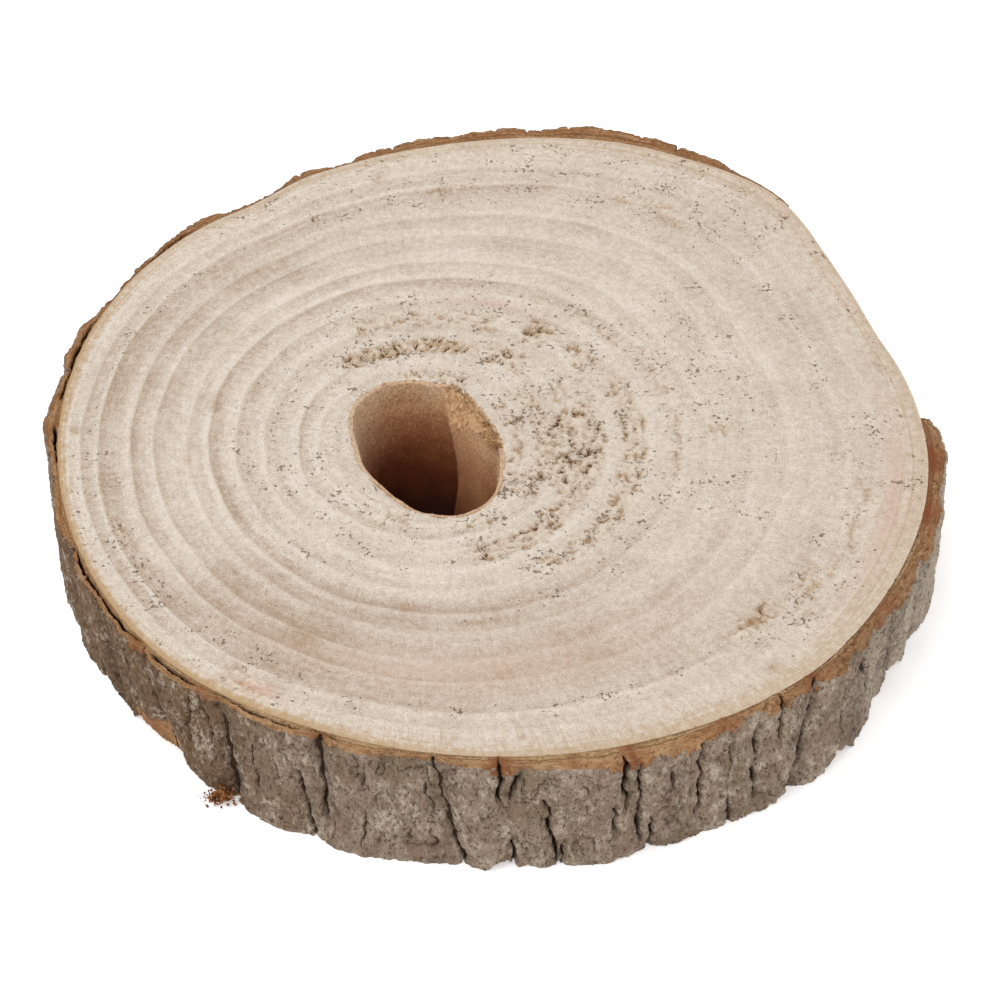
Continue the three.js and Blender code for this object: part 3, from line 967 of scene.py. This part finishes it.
def shape_bark(start, end, slices, side_rows):
    """A length of bark between two headings in degrees, and the attributes of its points."""
    section = (
        [(1, up) for up in run(0, 1, side_rows)]
        + [(across, 1) for across in run(1, 0, CUT_ROWS)]
        + [(0, up) for up in run(1, 0, BACK_ROWS)]
        + [(across, 0) for across in run(0, 1, FOOT_ROWS)]
    )
    band = bar(section, slices, False)
    blank = read_points(band)
    degrees = start + (end - start) * blank[:, 0]
    angle = np.radians(degrees)
    across = blank[:, 1]
    height = blank[:, 2] * THICK
    inner = radius_at(wood, angle, height) - 0.06
    outer = np.maximum(radius_at(trunk, angle, height), inner + 0.35)
    flat = np.stack([outer * np.cos(angle), outer * np.sin(angle), height], 1)
    thickness = outer - inner
    thin = soft_step(0.4, 1.6, thickness)

    sharp, curl = crack_depths(angle, height, flat)
    long = flat * (1, 1, 0.55)
    plates = 0.3 * rough(long, 5.0, 71, 2)
    knobs = 0.34 * np.abs(lumps(long, 2.6, 73)) + 0.28 * np.abs(rough(long, 1.2, 75, 2)) + 0.1 * lumps(flat, 0.42, 79)
    crackle = 0.34 * (1 - soft_step(0.0, 0.08, np.abs(lumps(long + 0.4 * lumps(flat, 1, 80)[:, None], 2.1, 81))))
    crackle = crackle * soft_step(-0.3, 0.3, lumps(flat, 4.0, 82))
    sunk = np.maximum(0.2 - plates + knobs + crackle, 0) + curl + sharp
    sunk = np.minimum(sunk * (0.2 + 0.8 * thin), thickness - BARK_LEFT)

    ragged = 1 + 0.7 * lumps(flat, 1.2, 84)
    lip_down = (0.12 + chip_reach(LIP_CHIPS, degrees)) * ragged
    lip_chip = 1 - soft_step(0.5, 1, (THICK - height) / np.maximum(lip_down, 0.05))
    foot_up = chip_reach(FOOT_CHIPS, degrees) * (1 + 0.5 * lumps(flat, 1.6, 83))
    foot_chip = (1 - soft_step(0.6, 1, height / np.maximum(foot_up, 0.02))) * (foot_up > 0.05)
    sunk = np.minimum(sunk + 0.45 * lip_chip * thin + 0.9 * foot_chip * thin, thickness - BARK_LEFT)

    on_cut = blank[:, 2] > 1 - 1e-6
    gap = np.where(on_cut, gap_depth(degrees, across, flat), 0)
    place = inner + (outer - sunk - inner) * across
    crumble = 0.07 + 0.1 * rough(flat + across[:, None] * 3, 0.8, 95, 2) + 0.14 * soft_step(0.7, 1, across)
    up = blank[:, 2] * BARK_LEVEL - np.where(on_cut, np.maximum(crumble, -0.25) + gap, 0)
    on_foot = blank[:, 2] < 1e-6
    up = up + np.where(on_foot, np.maximum(0.1 + 0.25 * lumps(flat, 2.2, 97), 0) * across, 0)
    move_points(band, np.stack([place * np.cos(angle), place * np.sin(angle), up], 1))
    hollows = (knobs - 0.2) / 0.35 + crackle * 2.5
    return band, {
        "across": across,
        "crack": np.where(on_cut, gap, sharp + 0.25 * curl),
        "cavity": np.where(on_cut, 0, hollows),
        "raw": np.maximum.reduce([np.where(on_cut, 1.0, 0.0), lip_chip * thin, foot_chip]),
        "right_cut": heading_window(angle, 296, 362, 10),
        "along": angle * TRUNK_ARC,
        "rust": stained_share(RUST_SPOTS, degrees, flat),
        "dark": stained_share(DARK_STRETCHES, degrees + 1.5 * lumps(flat, 4.0, 87), flat),
        # The next two masks carry painted shade on the left side and painted light on the right side.
        "brown_side": heading_window(angle, 190, 243, 12),
        "pale_side": heading_window(angle, 318, 362, 10),
        "amber_side": heading_window(angle, 50, 214, 12),
        "red_layer": 0.7 * heading_window(angle, 338, 362, 6) * window(across, 0.08, 0.4, 0.08),
    }


# %% [markdown]
# ## Bark's colours
# Weathered bark is grey-brown with paler grey crusts on its plates, and painted shade makes it near black in its cracks
# and hollows. Painted shade also browns its left side, and painted light makes its right side paler. Where it is broken
# or sawn it is orange-tan, with a darker line between its two layers and painted shade in the gap between them.

# %% The bark's finish
BARK_GREY = tint(186, 167, 149)
BARK_PALE = tint(204, 190, 172)
BARK_BROWN = tint(126, 104, 84)
BARK_OLIVE = tint(126, 109, 82)
BARK_PINK = tint(152, 124, 108)
BARK_SIDE_SHADE = tint(112, 80, 48)
BARK_SHADOW = tint(72, 56, 42)
PAINTED_CRACK_SHADE = tint(44, 31, 21)
CUT_TAN = tint(202, 167, 122)
CUT_ORANGE = tint(190, 144, 100)
CUT_RIGHT = tint(148, 108, 77)
CUT_PALE = tint(208, 176, 138)
CUT_BROWN = tint(112, 74, 46)
CUT_RUST = tint(146, 86, 54)
CUT_AMBER = tint(172, 116, 70)


def bark_finish():
    kit = Finish("bark")
    place = kit.place()
    drawn = kit.stretched(place, (1.0, 1.0, 0.65))
    crust = kit.lumps(drawn, 260.0, detail=6.0, roughness=0.7)
    flake = kit.lumps(drawn, 820.0, detail=5.0, roughness=0.72)
    fine = kit.lumps(drawn, 2000.0, detail=4.0, roughness=0.7)
    speck = kit.lumps(place, 4200.0, detail=2.0, roughness=0.6)
    warm = kit.lumps(place, 150.0, detail=3.0)
    blush = kit.lumps(kit.stretched(place, (1.0, -1.0, 1.0)), 210.0, detail=3.0)
    colour = kit.mix((crust - 0.5) * 1.5 + (flake - 0.5) * 2.2 + 0.55, BARK_BROWN, BARK_GREY)
    colour = kit.mix(warm.rise(0.48, 0.64) * 0.5, colour, BARK_OLIVE)
    colour = kit.mix(blush.rise(0.52, 0.66) * 0.45, colour, BARK_PINK)
    # Painted light: the bark on the right is painted paler, as if lit from that side.
    colour = kit.mix(kit.attribute("pale_side") * (crust + 0.1), colour, BARK_PALE)
    # Painted shade: the bark on the left is painted a darker brown, as if in shade.
    colour = kit.mix(kit.attribute("brown_side") * (0.35 + crust * 0.6), colour, BARK_SIDE_SHADE)
    colour = kit.mix((flake * 0.5 + fine * 0.5 + (crust - 0.5) * 0.5).rise(0.52, 0.64) * 0.7, colour, BARK_PALE)
    colour = kit.mix((1 - (fine + (speck - 0.5) * 0.6).rise(0.33, 0.46)) * 0.8, colour, BARK_SHADOW)
    colour = kit.mix(kit.attribute("dark") * (1.1 - fine) * 1.1, colour, BARK_SHADOW)
    cavity = kit.attribute("cavity")
    # Painted shade: the hollows between the plates are darkened towards near black.
    colour = kit.mix((cavity + (fine - 0.5) * 1.5).rise(0.4, 1.5) * 0.7, colour, PAINTED_CRACK_SHADE)
    crack = kit.attribute("crack")
    # Painted shade: the cracks, and the gap on the cut, are painted near black.
    colour = kit.mix((crack + (fine - 0.5) * 0.6).rise(0.35, 1.1) * 0.9, colour, PAINTED_CRACK_SHADE)
    layer = kit.attribute("across") + (flake - 0.5) * 0.4
    mottle = kit.lumps(place, 1300.0, detail=4.0, roughness=0.7)
    strand_place = kit.node("ShaderNodeCombineXYZ", {}, {
        0: kit.attribute("across") * 6.0, 1: kit.attribute("along") * 0.3, 2: mottle,
    })
    strand = kit.lumps(strand_place, 1.0, detail=3.0, roughness=0.6)
    cut = kit.mix(layer.rise(0.42, 0.52), CUT_TAN, CUT_ORANGE)
    cut = kit.mix(warm.rise(0.4, 0.6) * 0.4, cut, CUT_RIGHT)
    right = kit.attribute("right_cut")
    cut = kit.mix(right * 0.3, cut, CUT_RIGHT)
    cut = kit.mix(kit.attribute("amber_side") * (0.35 + mottle * 0.6), cut, CUT_AMBER)
    cut = kit.mix(strand.rise(0.5, 0.64) * (0.6 - right * 0.3), cut, CUT_PALE)
    cut = kit.mix((1 - strand.rise(0.36, 0.48)) * 0.45, cut, CUT_BROWN)
    cut = kit.mix(layer.band(0.36, 0.44, 0.04) * mottle.rise(0.35, 0.55), cut, CUT_BROWN)
    cut = kit.mix((1 - layer.rise(0.06, 0.16)) * (0.25 + right * 0.6), cut, CUT_BROWN)
    cut = kit.mix((1 - (mottle + (speck - 0.5) * 0.5).rise(0.36, 0.5)) * (0.45 + right * 0.3), cut, CUT_BROWN)
    cut = kit.mix((mottle + (speck - 0.5) * 0.5).rise(0.55, 0.68) * 0.45, cut, CUT_PALE)
    cut = kit.mix((kit.attribute("rust") + kit.attribute("red_layer")) * (mottle + 0.35), cut, CUT_RUST)
    # Painted shade in the gap between the bark's two layers.
    cut = kit.mix(crack.rise(0.25, 0.9), cut, PAINTED_CRACK_SHADE)
    colour = kit.mix((kit.attribute("raw") + (fine - 0.5) * 0.8).rise(0.35, 0.6), colour, cut)
    height = crust * 0.3 + flake * 0.9 + fine * 0.6 + speck * 0.2
    return kit.finish(colour, 0.88, height, 0.0012)


BARK = bark_finish()
BARK_LENGTHS = [
    # name, degrees from, to, slices, rows of its side
    ("bark_left", 196.0, 264.6, (28, 20), 112),
    ("bark_right", 264.6, 358.8, (36, 20), 104),
    ("bark_far", 45.6, 196.0, (38, 20), 66),
]
bark_pieces = []
for name, start, end, slices, side_rows in BARK_LENGTHS:
    band, attributes = shape_bark(start, end, slices, side_rows)
    bark_pieces.append(make_piece(name, band, attributes, [BARK]))

# %% [markdown]
# ## Torn fibres
# The saw leaves splinters standing in the torn stretches. Each is a thin cone, about a millimetre long, lying any way
# along the grain and tipped up a little. A few hundred of them catch the light where a flat face would not.

# %% Scatter the fibres
FIBRES = 1500
FIBRE_LONG = (0.35, 1.2)
FIBRE_WIDE = (0.03, 0.08)


def fibre_places(count):
    """Places in the torn stretches, more of them where the tearing is deep."""
    face_points = points[face]
    weight = torn[face] ** 1.5
    picked = chance.choice(len(face_points), count, p=weight / weight.sum())
    return face_points[picked] + chance.uniform(-0.1, 0.1, (count, 3)) * (1, 1, 0)


def add_fibre(tuft, place, lie, tip, length, width):
    """A thin cone at a place, lying along a heading and tipped up by an angle."""
    turn = Matrix.Rotation(lie, 4, "Z") @ Matrix.Rotation(math.pi / 2 - tip, 4, "Y")
    bmesh.ops.create_cone(
        tuft, cap_ends=True, segments=5, radius1=width, radius2=width * 0.25, depth=length,
        matrix=Matrix.Translation(place) @ turn,
    )


def make_fibres():
    tuft = bmesh.new()
    for x, y, _ in fibre_places(FIBRES):
        lie = math.atan2(y - PITH[1], x - PITH[0]) + chance.normal(0, 0.9)
        length = chance.uniform(*FIBRE_LONG)
        tip = chance.uniform(0.0, 0.4)
        low = min(FACE_LEVEL - 0.08, THICK - 0.2 - length * math.sin(tip) / 2)
        add_fibre(tuft, (x, y, low), lie, tip, length, chance.uniform(*FIBRE_WIDE))
    return tuft


# %% [markdown]
# The same saw pulled a fringe of longer tan splinters over the edge of the hollow, where the right wall begins.

# %% Hang splinters over the lip
LIP_SPLINTERS = 330
LIP_SPAN = (0.0, 1.4)


def make_lip_splinters():
    fringe = bmesh.new()
    for _ in range(LIP_SPLINTERS):
        angle = chance.uniform(*LIP_SPAN)
        share = chance.uniform(-0.25, 1.0)
        out = float(radius_at(hollow, np.array([angle]), np.array([THICK]))[0]) - share * RIGHT_WALL_FORWARD
        length = chance.uniform(0.4, 1.3)
        reach = np.interp(math.degrees(angle), TORN_SLOPE[:, 0], TORN_SLOPE[:, 1])
        lie = angle + math.pi + chance.normal(0, 0.9)
        tip = chance.uniform(-1.0, 0.1)
        low = min(THICK - 0.45 - max(share, 0.0) * reach, THICK - 0.2 - length * abs(math.sin(tip)) / 2)
        place = (hollow_centre[0] + out * math.cos(angle), hollow_centre[1] + out * math.sin(angle), low)
        add_fibre(fringe, place, lie, tip, length, chance.uniform(0.05, 0.13))
    return fringe


TUFT_WOOD = tint(218, 206, 190)
TUFT_SHADE = tint(190, 165, 132)
SPLINTER_WOOD = tint(192, 156, 116)
SPLINTER_SHADE = tint(142, 102, 68)


def fibre_finish(name, pale, shade):
    kit = Finish(name)
    place = kit.place()
    patch = kit.lumps(place, 500.0, detail=2.0)
    return kit.finish(kit.mix(patch.rise(0.35, 0.65), pale, shade), 0.85, kit.lumps(place, 3000.0), 0.0001)


fibre_piece = make_piece("torn_fibres", make_fibres(), {}, [fibre_finish("torn_fibres", TUFT_WOOD, TUFT_SHADE)])
splinter_finish = fibre_finish("lip_splinters", SPLINTER_WOOD, SPLINTER_SHADE)
splinter_piece = make_piece("lip_splinters", make_lip_splinters(), {}, [splinter_finish])

# %% [markdown]
# ## Crumbs of rotten bark
# On the lower left a bit of the inner bark has rotted to rust-brown crumbs, which hang from the foot of the slice.

# %% Heap the crumbs
CRUMBS = 320
CRUMB_HEAP = (-33.5, -51.4, 1.1)
CRUMB_SPREAD = (0.95, 0.5, 0.65)
CRUMB_SIZE = (0.1, 0.3)


def make_crumbs():
    heap = bmesh.new()
    for _ in range(CRUMBS):
        x, y, z = np.array(CRUMB_HEAP) + chance.normal(0, 1, 3) * CRUMB_SPREAD
        size = chance.uniform(*CRUMB_SIZE)
        turn = Matrix.Rotation(chance.uniform(0, TURN), 4, Vector(chance.normal(0, 1, 3)).normalized())
        squash = Matrix.Diagonal((size, size * chance.uniform(0.4, 0.9), size * chance.uniform(0.3, 0.6), 1))
        move = Matrix.Translation((x, y, max(z, size)))
        bmesh.ops.create_icosphere(heap, subdivisions=1, radius=1, matrix=move @ turn @ squash)
    return heap


CRUMB_RUST = tint(158, 106, 66)
CRUMB_DARK = tint(92, 55, 32)


def crumb_finish():
    kit = Finish("crumbs")
    place = kit.place()
    patch = kit.lumps(place, 900.0, detail=2.0)
    return kit.finish(kit.mix(patch.rise(0.4, 0.6), CRUMB_DARK, CRUMB_RUST), 0.9, kit.lumps(place, 3000.0), 0.0002)


crumb_piece = make_piece("rotten_crumbs", make_crumbs(), {}, [crumb_finish()])

# %% [markdown]
# ## Light, floor and camera
# A plain pale table, a broad soft light from the upper left and an even sky are enough. The camera is a long lens that
# looks down at 45 degrees, so the slice keeps almost parallel sides.

# %% The table
FLOOR_HALF = 3.0
TABLE_PALE = (0.93, 0.93, 0.93, 1.0)
TABLE_SHADE = (0.9, 0.9, 0.9, 1.0)
TABLE_GLOW = 0.3


def make_floor():
    kit = Finish("pale_table")
    place = kit.place()
    surface = kit.lumps(place, 30.0)
    material = kit.finish(kit.mix(surface * 0.03, TABLE_PALE, TABLE_SHADE), 0.9, surface, 0.00001, TABLE_GLOW)
    plane = bmesh.new()
    bmesh.ops.create_grid(plane, x_segments=1, y_segments=1, size=FLOOR_HALF)
    mesh = bpy.data.meshes.new("table")
    plane.to_mesh(mesh)
    plane.free()
    mesh.materials.append(material)
    table = bpy.data.objects.new("table", mesh)
    bpy.context.scene.collection.objects.link(table)
    return table


table = make_floor()

# %% Lights and sky
KEY_FROM = Vector((-0.4, -0.1, 1.0))
KEY_SIZE = 0.8
KEY_POWER = 5.5
FILL_FROM = Vector((0.6, -0.8, 0.45))
FILL_SIZE = 1.0
FILL_POWER = 2.0
SKY = 0.85


def soft_light(name, place, size, power):
    lamp = bpy.data.lights.new(name, "AREA")
    lamp.shape = "DISK"
    lamp.size = size
    lamp.energy = power
    light = bpy.data.objects.new(name, lamp)
    light.location = place
    light.rotation_euler = (-place).to_track_quat("-Z", "Y").to_euler()
    bpy.context.scene.collection.objects.link(light)
    return light


soft_light("key", KEY_FROM, KEY_SIZE, KEY_POWER)
soft_light("fill", FILL_FROM, FILL_SIZE, FILL_POWER)
world = bpy.data.worlds.new("studio")
world.use_nodes = True
world.node_tree.nodes["Background"].inputs["Color"].default_value = (1, 1, 1, 1)
world.node_tree.nodes["Background"].inputs["Strength"].default_value = SKY
bpy.context.scene.world = world
bpy.context.scene.view_settings.view_transform = "Standard"

# %% The camera
LOOK_AT = Vector((0.9, -7.85, 9.0)) * MM
VIEW_DOWN = math.radians(45)
VIEW_DISTANCE = 367 * MM
LENS = 100

camera_data = bpy.data.cameras.new("camera")
camera_data.lens = LENS
camera_data.sensor_width = 36
camera = bpy.data.objects.new("camera", camera_data)
camera.location = LOOK_AT + VIEW_DISTANCE * Vector((0, -math.cos(VIEW_DOWN), math.sin(VIEW_DOWN)))
camera.rotation_euler = (math.pi / 2 - VIEW_DOWN, 0, 0)
bpy.context.scene.collection.objects.link(camera)
bpy.context.scene.camera = camera

# %% [markdown]
# ## Joining the frame
# The slice has no joints, so every piece rides on the one body. All of them together stand for the one CAD node.

# %% Ride and replace
slots = [
    (wood_piece, "sawn_wood"), (fibre_piece, "sawn_wood"), (lining_piece, "hollow_wall"),
    (splinter_piece, "hollow_wall"), (crumb_piece, "bark"),
]
for piece, finish in slots + [(piece, "bark") for piece in bark_pieces]:
    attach(piece, "root")
    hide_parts("wood_slice")
